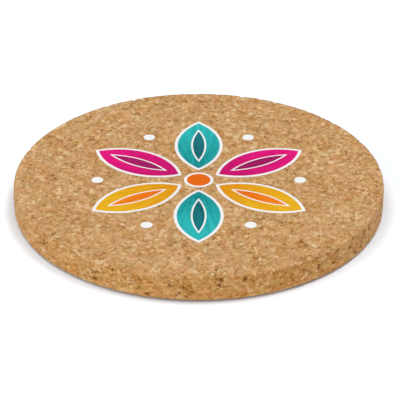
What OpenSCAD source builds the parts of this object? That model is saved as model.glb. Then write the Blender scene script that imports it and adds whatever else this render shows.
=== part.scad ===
// Round coaster of pressed cork with a rosette printed on its top face.
// Millimetres. The disc stands on z = 0 and is centred on the z axis.

/* [Cork disc] */
// Diameter of the disc
disc_d = 95; // [85:0.5:110]
// Thickness of the disc
disc_t = 6.5; // [4:0.1:12]
// Radius of the rounded edge at the top
top_edge_r = 0.6; // [0.2:0.1:1.5]
// Radius of the eased edge at the bottom
bottom_edge_r = 0.4; // [0.2:0.1:1.5]

/* [Ink coats] */
// Thickness of the white base coat
white_t = 0.08; // [0.05:0.01:0.2]
// Thickness of a colour coat
colour_t = 0.05; // [0.03:0.01:0.2]
// Width of the white border that shows round each colour
border_w = 0.8; // [0.4:0.1:1.5]
// Width of the white line between a petal and its vein
hairline_w = 0.5; // [0.3:0.1:1]

/* [Rosette] */
// Diameter of the eye at the centre
eye_d = 6; // [4:0.5:9]
// Bare cork between the eye's border and the petals' borders
eye_gap = 1.2; // [0.6:0.1:3]
// Length of a petal from tip to tip
petal_l = 24; // [20:0.5:28]
// Width of a petal at its middle
petal_w = 11; // [8:0.5:13]
// Length of a vein from tip to tip
vein_l = 15; // [10:0.5:17]
// Width of a vein at its middle
vein_w = 3; // [2:0.25:4]
// Diameter of the white dots between the petals
dot_d = 3; // [2:0.25:5]
// Radius of the circle that the white dots stand on
dot_ring_r = 26; // [20:0.5:36]

/* [Hidden] */
$fn = 96;
// Directions of the petals in each colour, in degrees
teal_petals = [90, 270];
magenta_petals = [30, 150];
amber_petals = [210, 330];
all_petals = concat(teal_petals, magenta_petals, amber_petals);
// Half the angle between two petals, which turns a petal's direction to that of the dot beside it
dot_turn = 180 / len(all_petals);
// Heights at which the coats lie on the cork and on each other
white_z = disc_t;
colour_z = white_z + white_t;
// Distance from the centre to the middle of a petal, which keeps its bordered tip clear of the eye
petal_mid_r = eye_d / 2 + border_w + eye_gap + lens_half_l(petal_l, petal_w, border_w);

// Radius of the two arcs that bound a lens of length l and width w
function lens_arc_r(l, w) = (l * l + w * w) / (4 * w);

// Distance from a lens's middle to its tip once both arcs have grown outwards
function lens_half_l(l, w, grow) =
    let (arc_r = lens_arc_r(l, w), centre_y = arc_r - w / 2)
    sqrt(pow(arc_r + grow, 2) - pow(centre_y, 2));

// Pointed lens between two arcs, lying along x and grown outwards by an even border
module lens(l, w, grow = 0) {
    arc_r = lens_arc_r(l, w);
    centre_y = arc_r - w / 2;
    intersection() {
        translate([0, -centre_y]) circle(r = arc_r + grow);
        translate([0, centre_y]) circle(r = arc_r + grow);
    }
}

// Sets its children at the middle of each petal, pointing outwards
module at_petals(directions) {
    for (direction = directions) rotate(direction) translate([petal_mid_r, 0]) children();
}

// Ink coat of thickness t with its underside at height z
module coat(z, t) {
    translate([0, 0, z]) linear_extrude(height = t) children();
}

// Petal in the lighter colour, left open round its vein
module petal() {
    difference() {
        lens(petal_l, petal_w);
        lens(vein_l, vein_w, hairline_w);
    }
}

// Ring that takes the sharp corner off an edge, for a convex edge of radius r at the top of a disc
module edge_cutter(r) {
    clear = r / 2;
    rotate_extrude() translate([disc_d / 2 - r, -r]) difference() {
        square(r + clear);
        circle(r = r);
    }
}

module cork_disc() {
    color("#c69a66") difference() {
        cylinder(d = disc_d, h = disc_t);
        translate([0, 0, disc_t]) edge_cutter(top_edge_r);
        mirror([0, 0, 1]) edge_cutter(bottom_edge_r);
    }
}

module white_base() {
    color("#f4f3f1") coat(white_z, white_t) {
        circle(d = eye_d + 2 * border_w);
        at_petals(all_petals) lens(petal_l, petal_w, border_w);
        for (direction = all_petals) rotate(direction + dot_turn) translate([dot_ring_r, 0]) circle(d = dot_d);
    }
}

module teal_ink() {
    color("#28b0b0") coat(colour_z, colour_t) at_petals(teal_petals) petal();
}

module dark_teal_ink() {
    color("#0f7f86") coat(colour_z, colour_t) at_petals(teal_petals) lens(vein_l, vein_w);
}

module magenta_ink() {
    color("#e2157b") coat(colour_z, colour_t) at_petals(magenta_petals) petal();
}

module dark_magenta_ink() {
    color("#a8246b") coat(colour_z, colour_t) at_petals(magenta_petals) lens(vein_l, vein_w);
}

module amber_ink() {
    color("#eab31f") coat(colour_z, colour_t) at_petals(amber_petals) petal();
}

module orange_ink() {
    color("#f07f1e") coat(colour_z, colour_t) {
        circle(d = eye_d);
        at_petals(amber_petals) lens(vein_l, vein_w);
    }
}

cork_disc();
white_base();
teal_ink();
dark_teal_ink();
magenta_ink();
dark_magenta_ink();
amber_ink();
orange_ink();
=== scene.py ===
import itertools
import math

import bpy
import numpy as np
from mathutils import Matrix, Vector


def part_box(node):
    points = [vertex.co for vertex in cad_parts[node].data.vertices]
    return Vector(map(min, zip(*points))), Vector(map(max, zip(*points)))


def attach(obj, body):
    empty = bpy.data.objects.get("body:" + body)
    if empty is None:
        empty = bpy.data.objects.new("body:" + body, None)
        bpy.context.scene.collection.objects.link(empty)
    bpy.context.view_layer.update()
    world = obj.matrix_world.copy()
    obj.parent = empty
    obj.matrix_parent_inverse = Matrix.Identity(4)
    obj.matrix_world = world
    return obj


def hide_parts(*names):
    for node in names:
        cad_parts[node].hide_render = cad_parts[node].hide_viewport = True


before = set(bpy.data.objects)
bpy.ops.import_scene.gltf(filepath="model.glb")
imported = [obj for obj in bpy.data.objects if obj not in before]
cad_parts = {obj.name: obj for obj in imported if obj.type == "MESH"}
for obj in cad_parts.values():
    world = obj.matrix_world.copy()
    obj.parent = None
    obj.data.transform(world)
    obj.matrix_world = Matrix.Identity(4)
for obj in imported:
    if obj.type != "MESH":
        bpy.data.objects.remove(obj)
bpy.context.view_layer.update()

MM = 0.001

# The cork disc, from the frame; the radii of its eased edges are the part's own
DISC_LOW, DISC_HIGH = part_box("cork_disc")
DISC_R = (DISC_HIGH.x - DISC_LOW.x) / 2 / MM
DISC_T = DISC_HIGH.z / MM
TOP_EDGE_R = 0.6
BOTTOM_EDGE_R = 0.4

# How finely the cork's skin is divided, and how far the underside's grid reaches
TOP_CELLS = 200
SIDE_COLUMNS = 8 * TOP_CELLS
BOTTOM_CELLS = 100
EDGE_ROWS = 4
WALL_ROWS = 21
UNDER_R = DISC_R - 2 * BOTTOM_EDGE_R

# The cork's relief, in millimetres; it only ever goes inwards from the disc's true faces. Granules with
# bent outlines are set back, each by its own amount, and the seams between them are grooves
GRANULE_SIZE = 1.7
GRANULE_WARP = 0.35
WARP_LENGTH = 1.5 * GRANULE_SIZE
SEAM_WIDTH = 0.3 * GRANULE_SIZE
FACE_SETBACK = 0.05
SIDE_SETBACK = 0.12
GRANULE_SHARE = 0.6
SEAM_SHARE = 0.4

# Missing granules, ragged in outline: pits, mostly high on the cut side, and chips along the upper edge
RAGGED = 0.28
RAGGED_LENGTH = 0.6
HOLE_SLOPE = 0.4
PIT_SIZE = 1.0
FACE_PIT_DEPTH = 0.15
SIDE_PIT_DEPTH = 0.36
FACE_PIT_SHARE = 0.002
SIDE_PIT_SHARE = 0.055
PITS_AT_FOOT = 0.4
PITS_RISE = 1.2
CHIP_SIZE = 1.4
CHIP_DEPTH = 0.42
CHIP_SHARE = 0.26
CHIP_REACH = (0.3, 1.2)

# The side's slight wave, and darker patches on it, which begin at a share of its height
RIM_WAVE = 0.2
RIM_WAVE_LENGTH = 3.0
HIGH_PATCH_REACH = (0.3, 0.7)
HIGH_PATCH_LENGTH = 20.0
HIGH_PATCH_EDGE = (-0.2, 0.3)

CORK_SEED = 86
HIGH_PATCH_SEED = 1017

# The cork's flat map, in millimetres of a square: the top face is in one corner, the underside, drawn
# smaller, in the opposite one, and the rim in strips in a third
MAP_SIDE = 131.0
MAP_MARGIN = 0.5
UNDER_SCALE = 0.6
RIM_SCALE = 0.95
RIM_STRIPS = 4
STRIP_PITCH = 7.6

# The grain of the finishes, in millimetres: granules pressed flat, a little longer one way than the
# other, and mirrored from left to right. Each set has its granules' size, the bend of their outlines and
# their seams' width
GRAIN_STRETCH = (-1.0, 0.8, 1.35)
COARSE_GRAIN = {"Size": 1.5, "Bend": 0.9, "Seam": 0.25}
FINE_GRAIN = {"Size": 0.7, "Bend": 0.45, "Seam": 0.13}
FLECK_GRAIN = {"Size": 0.8, "Bend": 0.5, "Seam": 0.12}
NOISE_MIDDLE = (0.5, 0.5, 0.5)
BEND_DETAIL = 2.0
SEAM_NOISE = (0.4, 0.6)
SEAM_FADE = (0.1, 1.0)

# Noise in the cork, per millimetre: fine dust, clouds of tone and patches of hue
DUST = {"Scale": 2.6, "Detail": 3.0}
CLOUD = {"Scale": 0.25, "Detail": 1.0}
PATCH = {"Scale": 0.3, "Detail": 1.0}

# The cork's tone, from 0, dark, to 1, pale: where it starts, and what each effect adds to it
TONE_START = -0.035
TONE_WEIGHTS = {
    "coarse": 0.3, "fine": 0.41, "dust": 0.36, "cloud": 0.04,
    # the dome's share is painted light in each coarse granule's middle and painted shade towards its edge
    "dome_relief_and_shade": 0.16, "coarse_seam": -0.26, "fine_seam": -0.12, "high_dark_patch": -0.06,
}

# Colours of the cork by tone, on its faces and on its cut side, as sRGB from 0 to 255
FACE_TONES = {
    0.0: (136, 82, 15), 0.25: (184, 132, 72), 0.55: (206, 157, 102),
    0.8: (222, 179, 126), 1.0: (240, 209, 166),
}
CUT_TONES = {
    0.0: (139, 77, 14), 0.25: (190, 129, 61), 0.55: (211, 157, 91),
    0.8: (228, 179, 116), 1.0: (238, 199, 145),
}

# Hues that multiply the colour, and a granule's own share in picking one, where its patch has the rest
REDDER, GREENER = (1.07, 0.975, 0.955, 1.0), (0.94, 1.02, 0.995, 1.0)
YELLOWER, BLUER = (1.0, 0.991, 0.88, 1.0), (1.0, 1.001, 1.1, 1.0)
COARSE_HUE_SHARE = 0.3
FINE_HUE_SHARE = 0.1
PATCH_RANGE = (0.3, 0.7)

# Flecks: which granules are dark or pale by their random tone, and how far a fleck covers its granule
DARK_FLECKS = (0.965, 0.98)
PALE_FLECKS = (0.03, 0.015)
FLECK_COVER = 0.85

# Clusters of pale granules: which patches, which granules in them, and the cover on these and in seams
CLUSTER_PATCHES = (0.62, 0.68)
CLUSTER_GRANULES = (0.4, 0.55)
CLUSTER_COVER = (0.75, 0.2)

# Paler colour along the seams of some coarse granules, broken up by dust
PALE_SEAM_GRANULES = (0.6, 0.66)
PALE_SEAM_DUST = (0.42, 0.62)

# Colours of flecks and of the painted shade in pits, as sRGB, and how far chips turn pale and pits turn
# dark with painted shade
DARK_FLECK = (152, 100, 42)
PALE_FLECK = (236, 201, 154)
PALE_CUT_FLECK = (237, 199, 149)
PIT_SHADE = (116, 54, 4)
CHIP_PALENESS = 0.25
PIT_SHADE_STRENGTH = 0.74

# The cork's surface: roughness from dark to pale tone, gloss, sheen, and relief in millimetres
CORK_ROUGHNESS = (0.95, 0.8)
CORK_GLOSS = 0.06
CORK_SHEEN = 0.14
CORK_BUMP = 0.8
CORK_BUMP_WEIGHTS = {"dome_relief_and_shade": 0.2, "granule": 0.04, "coarse_seam": -0.08, "fine_seam": -0.04}

# The print: each ink's colour and its deeper colour, as sRGB
INKS = {
    "white_base": ((251, 250, 249), (245, 243, 241)),
    "teal_ink": ((46, 190, 187), (8, 136, 141)),
    "dark_teal_ink": ((8, 120, 126), (2, 88, 96)),
    "magenta_ink": ((234, 16, 126), (190, 6, 102)),
    "dark_magenta_ink": ((172, 22, 102), (136, 8, 80)),
    "amber_ink": ((238, 185, 30), (225, 146, 14)),
    "orange_ink": ((247, 139, 25), (230, 103, 11)),
}

# Strokes in which the inks deepen from the petals' tips to the eye, whose radius is the part's own: how
# many there are per radian, their length, and their noise and reach
EYE_R = 3.0
PETAL_TIP_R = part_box("teal_ink")[1].y / MM
STROKES = 22.0
STROKE_LENGTH = 14.0
STROKE_NOISE = {"Scale": 1.0, "Detail": 2.0}
STROKE_RANGE = (0.35, 0.65)
STROKE_REACH = (-0.3, 0.3)

# The inks' surface: what makes their mottle and their depth of colour, roughness, gloss, and relief
MOTTLE_WEIGHTS = {"coarse": 0.5, "fine": 0.5}
DEPTH_WEIGHTS = {"mottle": 0.2, "seam": 0.15, "strokes": 0.8}
INK_ROUGHNESS = (0.5, 0.65)
INK_GLOSS = 0.08
INK_BUMP = 0.6
INK_BUMP_WEIGHTS = {"granule": 0.02, "seam": -0.03}

# The camera of the photograph: 30 degrees above the table, with a long lens, in a square picture
CAMERA_ELEVATION = math.radians(30.3)
CAMERA_DISTANCE = 0.7125
CAMERA_LENS = 249.5
PICTURE_SIDE = 400
DISC_CENTRE_PIXEL = (198.67, 191.1)

# Light: a white surround, which leans to the front half-way up, and near the horizon to the left, where
# it is a little cooler, and a soft lamp high on each side
WHITE = (1.0, 1.0, 1.0, 1.0)
SURROUND = 0.463
SURROUND_TILT = (0.0, -2.2, 0.0)
HORIZON_TILT = (-2.3, -0.65, 0.0)
HORIZON_FALL = 2.0
LEFT_TINT = (0.94, 1.0, 1.08, 1.0)
LAMPS = {
    "left_lamp": {"place": Vector((-0.28, 0.12, 0.8)), "strength": 0.55},
    "right_lamp": {"place": Vector((0.28, 0.12, 0.8)), "strength": 1.1},
}
LAMP_WIDTH = math.radians(24)

# The floor: its size in metres, its drop below the disc in millimetres, its colour, and how it is shown
FLOOR_SIZE = 6.0
FLOOR_DROP = 0.6
FLOOR_COLOUR = (0.88, 0.88, 0.88, 1.0)
FLOOR_SHOWN = (1.1, 1.167, 1.235, 1.0)


def srgb(red, green, blue):
    """Linear colour of an sRGB colour given in 0 to 255."""
    share = np.array([red, green, blue]) / 255
    linear = np.where(share <= 0.04045, share / 12.92, ((share + 0.055) / 1.055) ** 2.4)
    return (*(float(v) for v in linear), 1.0)


# Cork skin: a surface on grids, worked out in millimetres

def disc_grid(cells):
    """Square grid carried onto the unit disc: each square ring becomes a circle, evenly divided."""
    steps = np.linspace(-1, 1, cells + 1)
    across, along = np.meshgrid(steps, steps, indexing="ij")
    wide = np.abs(across) >= np.abs(along)
    radius = np.where(wide, across, along)
    share = np.where(wide, along, across) / np.where(radius == 0, 1, radius)
    angle = np.where(wide, share, 2 - share) * np.pi / 4
    return np.stack([radius * np.cos(angle), radius * np.sin(angle)], -1).reshape(-1, 2)


def grid_faces(cells):
    """Corner numbers of a square grid's cells, anticlockwise."""
    index = np.arange((cells + 1) ** 2).reshape(cells + 1, cells + 1)
    corners = [index[:-1, :-1], index[1:, :-1], index[1:, 1:], index[:-1, 1:]]
    return np.stack(corners, -1).reshape(-1, 4)


def grid_border(cells):
    """Numbers of a square grid's border vertices, anticlockwise from the corner (1, -1)."""
    index = np.arange((cells + 1) ** 2).reshape(cells + 1, cells + 1)
    return np.concatenate([index[-1, :-1], index[:0:-1, -1], index[0, :0:-1], index[:-1, 0]])


def stitch(coarse, fine):
    """Triangles that join a coarse ring of vertices to a finer one round it: each coarse vertex takes the
    fine edges nearest to it, and each coarse edge closes the gap that is left."""
    ratio = len(fine) // len(coarse)
    edge = np.arange(len(fine))
    owner = coarse[((edge + ratio // 2) // ratio) % len(coarse)]
    fans = np.stack([owner, fine, np.roll(fine, -1)], 1)
    corner = np.arange(len(coarse))
    middle = fine[(corner * ratio + (ratio + 1) // 2) % len(fine)]
    gaps = np.stack([coarse, middle, np.roll(coarse, -1)], 1)
    return np.concatenate([fans, gaps])


def edge_arc(start, end, edge_r, level):
    """Rows of an eased edge after its first: radius, height and outward normal on a circle of this radius
    whose centre is at this level, from one angle in degrees to another."""
    turn = np.linspace(start, end, EDGE_ROWS + 1)[1:] * np.pi / 180
    out, up = np.cos(turn), np.sin(turn)
    return np.stack([DISC_R - edge_r + edge_r * out, level + edge_r * up, out, up], 1)


def rim_profile():
    """Radius, height and outward normal of the rim from the top face to the underside: a quarter circle,
    a straight wall and a quarter circle."""
    top = edge_arc(90, 0, TOP_EDGE_R, DISC_T - TOP_EDGE_R)
    height = np.linspace(DISC_T - TOP_EDGE_R, BOTTOM_EDGE_R, WALL_ROWS + 1)[1:]
    wall = np.stack([np.full_like(height, DISC_R), height, np.ones_like(height), np.zeros_like(height)], 1)
    bottom = edge_arc(0, -90, BOTTOM_EDGE_R, BOTTOM_EDGE_R)
    return np.concatenate([top, wall, bottom])


def smooth_noise(points, size, rng):
    """Random values from -1 to 1 on a lattice of this size, eased between the lattice's corners."""
    place = points / size
    base = np.floor(place).astype(int)
    share = place - base
    share = share * share * (3 - 2 * share)
    base -= base.min(0)
    values = rng.uniform(-1, 1, base.max(0) + 2)
    total = np.zeros(len(points))
    for corner in itertools.product((0, 1), repeat=3):
        weight = np.where(corner, share, 1 - share).prod(1)
        total += weight * values[tuple((base + corner).T)]
    return total


def granules(points, size, rng):
    """Cells round the jittered points of a lattice: the number of each point's own cell, the distance by
    which the next cell's centre is further than its own, and the number of cells."""
    place = points / size
    base = np.floor(place).astype(int)
    shape = base.max(0) - base.min(0) + 3
    low = base.min(0) - 1
    jitter = rng.random((shape.prod(), 3))
    nearest, second = np.full((2, len(points)), np.inf)
    owner = np.zeros(len(points), int)
    for step in itertools.product((-1, 0, 1), repeat=3):
        number = np.ravel_multi_index((base - low + step).T, shape)
        distance = np.linalg.norm(place - base - step - jitter[number], axis=1)
        closer = distance < nearest
        second = np.where(closer, nearest, np.minimum(second, distance))
        owner = np.where(closer, number, owner)
        nearest = np.minimum(nearest, distance)
    return owner, (second - nearest) * size, shape.prod()


def drift(points, size, reach, rng):
    """Shift of each point along all three axes by smooth noise of this size, up to this reach."""
    return np.stack([smooth_noise(points, size, rng) for _ in range(3)], 1) * reach


def ease(value, low, high):
    """0 below low, 1 above high, and a smooth step between them."""
    share = np.clip((value - low) / (high - low), 0, 1)
    return share * share * (3 - 2 * share)


def cork_relief(points, side):
    """Depth of the skin below the true face, and how deep in a pit and in a chip each point lies, from 0
    to 1. Each granule is set back by its own amount, and the seams between granules are grooves. Some
    finer granules are missing, most often high on the cut side, and others along the upper edge, both
    with ragged outlines. The side waves a little."""
    rng = np.random.default_rng(CORK_SEED)
    warp = drift(points, WARP_LENGTH, GRANULE_WARP, rng)
    owner, gap, count = granules(points + warp, GRANULE_SIZE, rng)
    setback = rng.random(count)[owner]
    seam = 1 - ease(gap, 0, SEAM_WIDTH)
    amount = FACE_SETBACK + (SIDE_SETBACK - FACE_SETBACK) * side
    depth = amount * (GRANULE_SHARE * setback + SEAM_SHARE * seam)
    warp += drift(points, RAGGED_LENGTH, RAGGED, rng)
    owner, gap, count = granules(points + warp, PIT_SIZE, rng)
    chance = rng.random(count)[owner]
    often = PITS_AT_FOOT + PITS_RISE * points[:, 2] / DISC_T
    share = FACE_PIT_SHARE + (SIDE_PIT_SHARE * often - FACE_PIT_SHARE) * side
    pit = (chance < share) * ease(gap, 0, HOLE_SLOPE * PIT_SIZE)
    depth += pit * (FACE_PIT_DEPTH + (SIDE_PIT_DEPTH - FACE_PIT_DEPTH) * side)
    owner, gap, count = granules(points + warp, CHIP_SIZE, rng)
    chance = rng.random(count)[owner]
    corner = np.hypot(DISC_R - np.hypot(points[:, 0], points[:, 1]), DISC_T - points[:, 2])
    chip = (chance < CHIP_SHARE) * ease(gap, 0, HOLE_SLOPE * CHIP_SIZE) * (1 - ease(corner, *CHIP_REACH))
    depth += chip * CHIP_DEPTH
    depth += side * RIM_WAVE * (0.5 + 0.5 * smooth_noise(points, RIM_WAVE_LENGTH, rng))
    return depth, pit, chip


def high_dark_patches(points, side):
    """Share of darker patch: patches of smooth noise on the cut side, growing towards its upper edge."""
    patches = smooth_noise(points, HIGH_PATCH_LENGTH, np.random.default_rng(HIGH_PATCH_SEED))
    return side * ease(points[:, 2] / DISC_T, *HIGH_PATCH_REACH) * ease(patches, *HIGH_PATCH_EDGE)


def skin_points(profile):
    """Points and outward normals of the disc's true skin: a grid on the top face, the profile turned
    round the axis in columns, and a grid on the underside that leaves room for a joining ring."""
    top = disc_grid(TOP_CELLS) * (DISC_R - TOP_EDGE_R)
    under = disc_grid(BOTTOM_CELLS) * UNDER_R
    turn = np.arange(SIDE_COLUMNS) * 2 * np.pi / SIDE_COLUMNS - np.pi / 4
    ray = np.stack([np.cos(turn), np.sin(turn)], 1)
    shape = (len(profile), SIDE_COLUMNS, 1)
    radius, height, out, up = (np.broadcast_to(values[:, None, None], shape) for values in profile.T)
    points = np.concatenate([
        np.column_stack([top, np.full(len(top), DISC_T)]),
        np.concatenate([radius * ray, height], 2).reshape(-1, 3),
        np.column_stack([under, np.zeros(len(under))])])
    normals = np.concatenate([
        np.tile([0, 0, 1], (len(top), 1)),
        np.concatenate([out * ray, up], 2).reshape(-1, 3),
        np.tile([0, 0, -1], (len(under), 1))])
    return points, normals


def skin_faces(rim_rows):
    """Corner numbers of the skin's faces: the top grid, the rim's cells, the underside's grid, and the
    triangles that join each grid to the rim."""
    top = grid_faces(TOP_CELLS)
    rim_start = (TOP_CELLS + 1) ** 2
    rows = np.arange(rim_rows * SIDE_COLUMNS).reshape(rim_rows, SIDE_COLUMNS) + rim_start
    ahead = np.roll(rows, -1, 1)
    wall = np.stack([rows[1:], ahead[1:], ahead[:-1], rows[:-1]], -1).reshape(-1, 4)
    under_start = rim_start + rows.size
    under = grid_faces(BOTTOM_CELLS)[:, ::-1] + under_start
    top_ring = stitch(grid_border(TOP_CELLS), rows[0])
    under_ring = stitch(grid_border(BOTTOM_CELLS) + under_start, rows[-1])[:, ::-1]
    return [top, wall, under, top_ring, under_ring]


def rim_map(profile):
    """Places of the rim's face corners on the flat map: strips that lie above each other, with the way
    round the rim along them and the way down its profile across them."""
    down = np.concatenate([[0], np.cumsum(np.hypot(*np.diff(profile[:, :2], axis=0).T))])
    column = np.arange(SIDE_COLUMNS)
    strip, step = np.divmod(column, SIDE_COLUMNS // RIM_STRIPS)
    along = MAP_MARGIN + RIM_SCALE * step * 2 * np.pi * DISC_R / SIDE_COLUMNS
    ahead = along + RIM_SCALE * 2 * np.pi * DISC_R / SIDE_COLUMNS
    across = MAP_SIDE - MAP_MARGIN - strip * STRIP_PITCH - RIM_SCALE * down[:, None]
    shape = (len(profile) - 1, SIDE_COLUMNS)
    corners = [(along, across[1:]), (ahead, across[1:]), (ahead, across[:-1]), (along, across[:-1])]
    return np.stack([np.stack([np.broadcast_to(u, shape), v], -1) for u, v in corners], 2).reshape(-1, 2)


def skin_map(points, profile, faces):
    """Places of all face corners on the flat map, from 0 to 1: the faces as seen from above and from
    below, and the rim's strips."""
    on_top = points[:, :2] + MAP_MARGIN + DISC_R
    on_under = MAP_SIDE - MAP_MARGIN + (points[:, :2] * (1, -1) - DISC_R) * UNDER_SCALE
    top, _, under, top_ring, under_ring = (block.ravel() for block in faces)
    places = [on_top[top], rim_map(profile), on_under[under], on_top[top_ring], on_under[under_ring]]
    return np.concatenate(places) / MAP_SIDE


def cork_skin():
    """The disc's skin, pressed in by the relief along its normals. Returns its vertices in metres, its
    faces, the place of each face corner on the flat map, and for each vertex its share of cut side,
    darker patch high on the side, pit and chip."""
    profile = rim_profile()
    points, normals = skin_points(profile)
    faces = skin_faces(len(profile))
    side = 1 - np.abs(normals[:, 2])
    depth, pit, chip = cork_relief(points, side)
    marks = {"cut_side": side, "high_dark_patch": high_dark_patches(points, side), "pit": pit, "chip": chip}
    return (points - normals * depth[:, None]) * MM, faces, skin_map(points, profile, faces), marks


def make_piece(name, vertices, faces, places, marks):
    """Mesh object at the origin from arrays of vertices and faces, smooth, with a flat map that gives
    each face corner its place, and named values per vertex."""
    mesh = bpy.data.meshes.new(name)
    corners = np.concatenate([block.ravel() for block in faces])
    sizes = np.concatenate([np.full(len(block), block.shape[1]) for block in faces])
    mesh.vertices.add(len(vertices))
    mesh.vertices.foreach_set("co", vertices.ravel())
    mesh.loops.add(len(corners))
    mesh.loops.foreach_set("vertex_index", corners)
    mesh.polygons.add(len(sizes))
    mesh.polygons.foreach_set("loop_start", np.cumsum(sizes) - sizes)
    mesh.update(calc_edges=True)
    mesh.shade_smooth()
    mesh.uv_layers.new(name="OFBake").uv.foreach_set("vector", places.ravel())
    for label, values in marks.items():
        mesh.attributes.new(label, "FLOAT", "POINT").data.foreach_set("value", values.astype(np.float32))
    piece = bpy.data.objects.new(name, mesh)
    bpy.context.scene.collection.objects.link(piece)
    return piece


# Finishes

def put(tree, kind, inputs=None, **settings):
    """Adds a node with its settings, and sets or links its inputs, each given by name or number."""
    made = tree.nodes.new(kind)
    for name, value in settings.items():
        setattr(made, name, value)
    for socket, value in (inputs or {}).items():
        if isinstance(value, bpy.types.NodeSocket):
            tree.links.new(value, made.inputs[socket])
        else:
            made.inputs[socket].default_value = value
    return made


def calc(tree, operation, *values):
    """Output of a Math node."""
    return put(tree, "ShaderNodeMath", dict(enumerate(values)), operation=operation).outputs[0]


def chain(tree, operation, first, *others):
    """Output of a row of Math nodes, which take in one value after another."""
    for other in others:
        first = calc(tree, operation, first, other)
    return first


def weigh(tree, values, weights, start=0.0):
    """Sum of named values, each times the weight of that name, on top of a start."""
    total = start
    for name, weight in weights.items():
        total = calc(tree, "MULTIPLY_ADD", values[name], weight, total)
    return total


def vector_calc(tree, operation, *values):
    """Outputs of a Vector Math node."""
    return put(tree, "ShaderNodeVectorMath", dict(enumerate(values)), operation=operation).outputs


def axes(tree, vector):
    """Outputs X, Y and Z of a vector."""
    return put(tree, "ShaderNodeSeparateXYZ", {"Vector": vector}).outputs


def spread(tree, value, from_low, from_high, to_low=0.0, to_high=1.0, kind="LINEAR"):
    """Output of a Map Range node."""
    inputs = {
        "Value": value, "From Min": from_low, "From Max": from_high, "To Min": to_low, "To Max": to_high,
    }
    return put(tree, "ShaderNodeMapRange", inputs, interpolation_type=kind).outputs["Result"]


def noise(tree, place, settings):
    """Outputs of a Noise texture."""
    return put(tree, "ShaderNodeTexNoise", {"Vector": place, **settings}).outputs


def mark(tree, name):
    """A mark that the skin carries at each vertex."""
    return put(tree, "ShaderNodeAttribute", attribute_name=name).outputs["Fac"]


def ramp(tree, value, tones):
    """Colour of a Color Ramp with these sRGB colours, from the first at 0 to the last at 1."""
    made = put(tree, "ShaderNodeValToRGB", {"Fac": value})
    stops = made.color_ramp.elements
    for position in list(tones)[1:-1]:
        stops.new(position)
    for stop, colour in zip(stops, tones.values()):
        stop.color = srgb(*colour)
    return made.outputs["Color"]


def blend(tree, share, first, second, kind="MIX"):
    """Colour between two colours, or another way of mixing them."""
    inputs = {"Factor": share, "A": first, "B": second}
    made = put(tree, "ShaderNodeMix", data_type="RGBA", blend_type=kind)
    for socket in made.inputs:
        value = inputs.get(socket.name) if socket.enabled else None
        if isinstance(value, bpy.types.NodeSocket):
            tree.links.new(value, socket)
        elif value is not None:
            socket.default_value = value
    return next(socket for socket in made.outputs if socket.enabled)


def cork_grain():
    """Node group for the grain of pressed cork: cells of a given size on bent coordinates, with a random
    tone, height and hue for each cell, a dome that falls off from its middle, and a groove along the
    seams between cells, which fades in and out."""
    group = bpy.data.node_groups.new("cork_grain", "ShaderNodeTree")
    group.interface.new_socket("Place", in_out="INPUT", socket_type="NodeSocketVector")
    for name in ("Size", "Bend", "Seam"):
        group.interface.new_socket(name, in_out="INPUT", socket_type="NodeSocketFloat")
    for name in ("Tone", "Height", "Hue", "Dome", "Groove"):
        group.interface.new_socket(name, in_out="OUTPUT", socket_type="NodeSocketFloat")
    taken = put(group, "NodeGroupInput").outputs
    given = put(group, "NodeGroupOutput").inputs
    often = calc(group, "DIVIDE", 1.0, taken["Size"])
    waves = noise(group, taken["Place"], {"Scale": often, "Detail": BEND_DETAIL})
    offset = vector_calc(group, "SUBTRACT", waves["Color"], NOISE_MIDDLE)[0]
    bent = vector_calc(group, "MULTIPLY_ADD", offset, taken["Bend"], taken["Place"])[0]
    cell = put(group, "ShaderNodeTexVoronoi", {"Vector": bent, "Scale": often}).outputs
    edge = put(group, "ShaderNodeTexVoronoi", {"Vector": bent, "Scale": often}, feature="DISTANCE_TO_EDGE")
    pick = put(group, "ShaderNodeSeparateColor", {"Color": cell["Color"]}).outputs
    reach = calc(group, "MULTIPLY", edge.outputs["Distance"], taken["Size"])
    groove = spread(group, reach, 0.0, taken["Seam"], 1.0, 0.0, "SMOOTHSTEP")
    fade = spread(group, waves["Fac"], *SEAM_NOISE, *SEAM_FADE)
    group.links.new(pick[0], given["Tone"])
    group.links.new(pick[1], given["Height"])
    group.links.new(pick[2], given["Hue"])
    group.links.new(calc(group, "SUBTRACT", 1.0, cell["Distance"]), given["Dome"])
    group.links.new(calc(group, "MULTIPLY", groove, fade), given["Groove"])
    return group


def finish_tree(name):
    """New material, its tree and shader, and the place on the object in metres and in grain millimetres."""
    material = bpy.data.materials.new(name)
    material.use_nodes = True
    tree = material.node_tree
    shader = tree.nodes["Principled BSDF"]
    spot = put(tree, "ShaderNodeTexCoord").outputs["Object"]
    place = vector_calc(tree, "MULTIPLY", spot, tuple(share / MM for share in GRAIN_STRETCH))[0]
    return material, tree, shader, spot, place


def grain(tree, group, place, sizes):
    """Outputs of the cork grain with its own sizes."""
    made = put(tree, "ShaderNodeGroup", node_tree=group)
    tree.links.new(place, made.inputs["Place"])
    for name, value in sizes.items():
        made.inputs[name].default_value = value
    return made.outputs


def set_surface(tree, shader, colour, roughness, gloss, height, bump):
    """Gives the shader its colour, roughness, gloss and relief, whose height is in millimetres."""
    relief = put(tree, "ShaderNodeBump", {"Height": height, "Distance": MM, "Strength": bump})
    tree.links.new(colour, shader.inputs["Base Color"])
    tree.links.new(roughness, shader.inputs["Roughness"])
    tree.links.new(relief.outputs["Normal"], shader.inputs["Normal"])
    shader.inputs["Specular IOR Level"].default_value = gloss


def tint(tree, colour, own, share, patch, first, second):
    """Colour times a hue between two, picked by a granule's own value and, for the rest, by its patch."""
    pick = calc(tree, "MULTIPLY_ADD", own, share, spread(tree, patch, *PATCH_RANGE, 0.0, 1 - share))
    return blend(tree, 1.0, colour, blend(tree, pick, first, second), "MULTIPLY")


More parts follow.
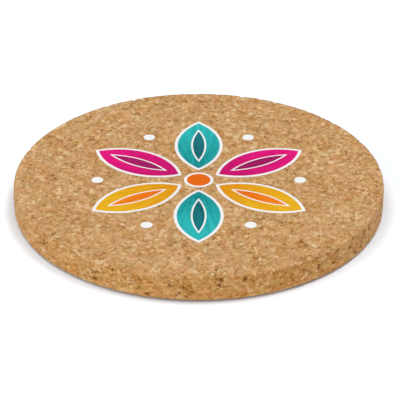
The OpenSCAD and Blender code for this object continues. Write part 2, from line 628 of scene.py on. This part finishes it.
def cork_finish(group):
    """Pressed cork: granules in two sizes, each of its own tone and hue, with painted light in the middle
    of each coarse granule and painted shade towards its edge, larger patches of hue, pale and dark flecks,
    clusters of pale granules, paler colour along some seams, darker seams, pits darkened with painted
    shade, darker patches high on the cut side, pale chips, and a warmer colour on the cut side."""
    material, tree, shader, _, place = finish_tree("pressed_cork")
    coarse = grain(tree, group, place, COARSE_GRAIN)
    fine = grain(tree, group, place, FINE_GRAIN)
    flecks = grain(tree, group, place, FLECK_GRAIN)
    dust = noise(tree, place, DUST)["Fac"]
    patch = put(tree, "ShaderNodeSeparateColor", {"Color": noise(tree, place, PATCH)["Color"]}).outputs
    side = mark(tree, "cut_side")
    effects = {
        "coarse": coarse["Tone"], "fine": fine["Tone"], "dust": dust,
        "cloud": noise(tree, place, CLOUD)["Fac"], "dome_relief_and_shade": coarse["Dome"], "granule": fine["Height"],
        "coarse_seam": coarse["Groove"], "fine_seam": fine["Groove"], "high_dark_patch": mark(tree, "high_dark_patch"),
    }
    # the dome gives the tone painted light and shade, and the relief a real bump
    tone = weigh(tree, effects, TONE_WEIGHTS, TONE_START)
    colour = blend(tree, side, ramp(tree, tone, FACE_TONES), ramp(tree, tone, CUT_TONES))
    colour = tint(tree, colour, coarse["Hue"], COARSE_HUE_SHARE, patch[0], REDDER, GREENER)
    colour = tint(tree, colour, fine["Hue"], FINE_HUE_SHARE, patch[1], YELLOWER, BLUER)
    inside = calc(tree, "SUBTRACT", FLECK_COVER, flecks["Groove"])
    dark = calc(tree, "MULTIPLY", spread(tree, flecks["Tone"], *DARK_FLECKS), inside)
    fleck = calc(tree, "MULTIPLY", spread(tree, flecks["Tone"], *PALE_FLECKS), inside)
    cluster = chain(tree, "MULTIPLY", spread(tree, patch[2], *CLUSTER_PATCHES),
                    spread(tree, fine["Tone"], *CLUSTER_GRANULES),
                    spread(tree, fine["Groove"], 0.0, 1.0, *CLUSTER_COVER))
    pale_seam = chain(tree, "MULTIPLY", spread(tree, coarse["Height"], *PALE_SEAM_GRANULES), coarse["Groove"],
                  spread(tree, dust, *PALE_SEAM_DUST))
    chip = calc(tree, "MULTIPLY", mark(tree, "chip"), CHIP_PALENESS)
    pale = chain(tree, "MAXIMUM", fleck, cluster, pale_seam, chip)
    # pits darken with painted shade in their hollows
    pit = calc(tree, "MULTIPLY", mark(tree, "pit"), PIT_SHADE_STRENGTH)
    colour = blend(tree, dark, colour, srgb(*DARK_FLECK))
    colour = blend(tree, pale, colour, blend(tree, side, srgb(*PALE_FLECK), srgb(*PALE_CUT_FLECK)))
    colour = blend(tree, pit, colour, srgb(*PIT_SHADE))
    roughness = spread(tree, tone, 0.0, 1.0, *CORK_ROUGHNESS)
    height = weigh(tree, effects, CORK_BUMP_WEIGHTS)
    set_surface(tree, shader, colour, roughness, CORK_GLOSS, height, CORK_BUMP)
    shader.inputs["Sheen Weight"].default_value = CORK_SHEEN
    return material


def strokes(tree, spot):
    """Share of the deeper colour in an ink, from 0 at the petals' tips to 1 at the rosette's eye, with
    strokes that run outwards: noise that is short across the way from the centre and long along it."""
    x, y, _ = axes(tree, spot)
    angle = calc(tree, "ARCTAN2", y, x)
    square = calc(tree, "MULTIPLY_ADD", x, x, calc(tree, "MULTIPLY", y, y))
    radius = calc(tree, "SQRT", square)
    across = calc(tree, "MULTIPLY", angle, STROKES)
    along = calc(tree, "DIVIDE", radius, STROKE_LENGTH * MM)
    turned = put(tree, "ShaderNodeCombineXYZ", {"X": across, "Y": along}).outputs["Vector"]
    streak = spread(tree, noise(tree, turned, STROKE_NOISE)["Fac"], *STROKE_RANGE, *STROKE_REACH)
    fade = spread(tree, radius, EYE_R * MM, PETAL_TIP_R * MM, 1.0, 0.0, "SMOOTHSTEP")
    return calc(tree, "ADD", fade, streak)


def ink_finish(name, group, colour, deep):
    """Opaque ink: its colour deepens towards the eye in strokes, and a little with the tone of the
    granules and in their seams, and the cork's grain shows through as relief."""
    material, tree, shader, spot, place = finish_tree(name)
    coarse = grain(tree, group, place, COARSE_GRAIN)
    fine = grain(tree, group, place, FINE_GRAIN)
    mottle = weigh(tree, {"coarse": coarse["Tone"], "fine": fine["Tone"]}, MOTTLE_WEIGHTS)
    effects = {
        "mottle": mottle, "seam": coarse["Groove"], "strokes": strokes(tree, spot),
        "granule": coarse["Height"],
    }
    depth = spread(tree, weigh(tree, effects, DEPTH_WEIGHTS), 0.0, 1.0)
    ink = blend(tree, depth, srgb(*colour), srgb(*deep))
    roughness = spread(tree, mottle, 0.0, 1.0, *INK_ROUGHNESS)
    height = weigh(tree, effects, INK_BUMP_WEIGHTS)
    set_surface(tree, shader, ink, roughness, INK_GLOSS, height, INK_BUMP)
    return material


# Stage

def seen_directly(tree):
    """1 for rays from the camera, in a reflection or through glass, and 0 for rays that carry light."""
    path = put(tree, "ShaderNodeLightPath").outputs
    return chain(tree, "MAXIMUM", path["Is Glossy Ray"], path["Is Transmission Ray"], path["Is Camera Ray"])


def make_floor():
    """White floor just below the disc, which keeps its shadow, shown brighter than it lights the disc."""
    half = FLOOR_SIZE / 2
    level = -FLOOR_DROP * MM
    corners = [(-half, -half, level), (half, -half, level), (half, half, level), (-half, half, level)]
    mesh = bpy.data.meshes.new("floor")
    mesh.from_pydata(corners, [], [(0, 1, 2, 3)])
    floor = bpy.data.objects.new("floor", mesh)
    bpy.context.scene.collection.objects.link(floor)
    material = bpy.data.materials.new("white_floor")
    material.use_nodes = True
    tree = material.node_tree
    tree.nodes.remove(tree.nodes["Principled BSDF"])
    colour = blend(tree, seen_directly(tree), FLOOR_COLOUR, FLOOR_SHOWN)
    shader = put(tree, "ShaderNodeBsdfDiffuse", {"Color": colour})
    tree.links.new(shader.outputs["BSDF"], tree.nodes["Material Output"].inputs["Surface"])
    mesh.materials.append(material)


def make_light():
    """White surround and the soft lamps. The surround's strength is its level times 1 plus a tilt, which
    counts more the higher the direction, plus the horizon's tilt, which counts more the lower it is, and
    never below 0. It is a little cooler on the left, and it is seen as plain white."""
    world = bpy.data.worlds.new("surround")
    bpy.context.scene.world = world
    world.use_nodes = True
    tree = world.node_tree
    direction = put(tree, "ShaderNodeTexCoord").outputs["Generated"]
    aside, _, rise = axes(tree, direction)
    fall = calc(tree, "POWER", calc(tree, "SUBTRACT", 1.0, rise), HORIZON_FALL)
    tilt = vector_calc(tree, "DOT_PRODUCT", direction, SURROUND_TILT)["Value"]
    low_tilt = vector_calc(tree, "DOT_PRODUCT", direction, HORIZON_TILT)["Value"]
    lean = calc(tree, "MULTIPLY_ADD", tilt, rise, calc(tree, "MULTIPLY", low_tilt, fall))
    strength = calc(tree, "MAXIMUM", calc(tree, "MULTIPLY_ADD", lean, SURROUND, SURROUND), 0.0)
    seen = seen_directly(tree)
    tinted = blend(tree, spread(tree, aside, 0.0, -1.0), WHITE, LEFT_TINT)
    background = tree.nodes["Background"]
    tree.links.new(blend(tree, seen, tinted, WHITE), background.inputs["Color"])
    tree.links.new(spread(tree, seen, 0.0, 1.0, strength, 1.0), background.inputs["Strength"])
    for name, settings in LAMPS.items():
        lamp = bpy.data.lights.new(name, "SUN")
        lamp.energy = settings["strength"]
        lamp.angle = LAMP_WIDTH
        holder = bpy.data.objects.new(name, lamp)
        holder.location = settings["place"]
        holder.rotation_euler = (-settings["place"]).to_track_quat("-Z", "Y").to_euler()
        bpy.context.scene.collection.objects.link(holder)


def make_camera():
    """Camera in front of the disc, moved sideways and up so that the disc's centre falls on its pixel."""
    back = Vector((0, -math.cos(CAMERA_ELEVATION), math.sin(CAMERA_ELEVATION)))
    right = Vector((1, 0, 0))
    up = back.cross(right)
    camera = bpy.data.cameras.new("camera")
    camera.lens = CAMERA_LENS
    holder = bpy.data.objects.new("camera", camera)
    pixel = CAMERA_DISTANCE * camera.sensor_width / camera.lens / PICTURE_SIDE
    aside = (PICTURE_SIDE / 2 - DISC_CENTRE_PIXEL[0]) * pixel
    above = (DISC_CENTRE_PIXEL[1] - PICTURE_SIDE / 2) * pixel
    centre = Vector((0, 0, DISC_T * MM / 2))
    holder.location = centre + back * CAMERA_DISTANCE + right * aside + up * above
    holder.rotation_euler = (-back).to_track_quat("-Z", "Y").to_euler()
    bpy.context.scene.collection.objects.link(holder)
    bpy.context.scene.camera = holder


grain_group = cork_grain()
cork = make_piece("cork", *cork_skin())
cork.data.materials.append(cork_finish(grain_group))
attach(cork, "root")
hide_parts("cork_disc")

for node, (colour, deep) in INKS.items():
    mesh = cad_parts[node].data
    mesh.materials.clear()
    mesh.materials.append(ink_finish(node, grain_group, colour, deep))

make_floor()
make_light()
make_camera()
bpy.context.scene.view_settings.view_transform = "Standard"
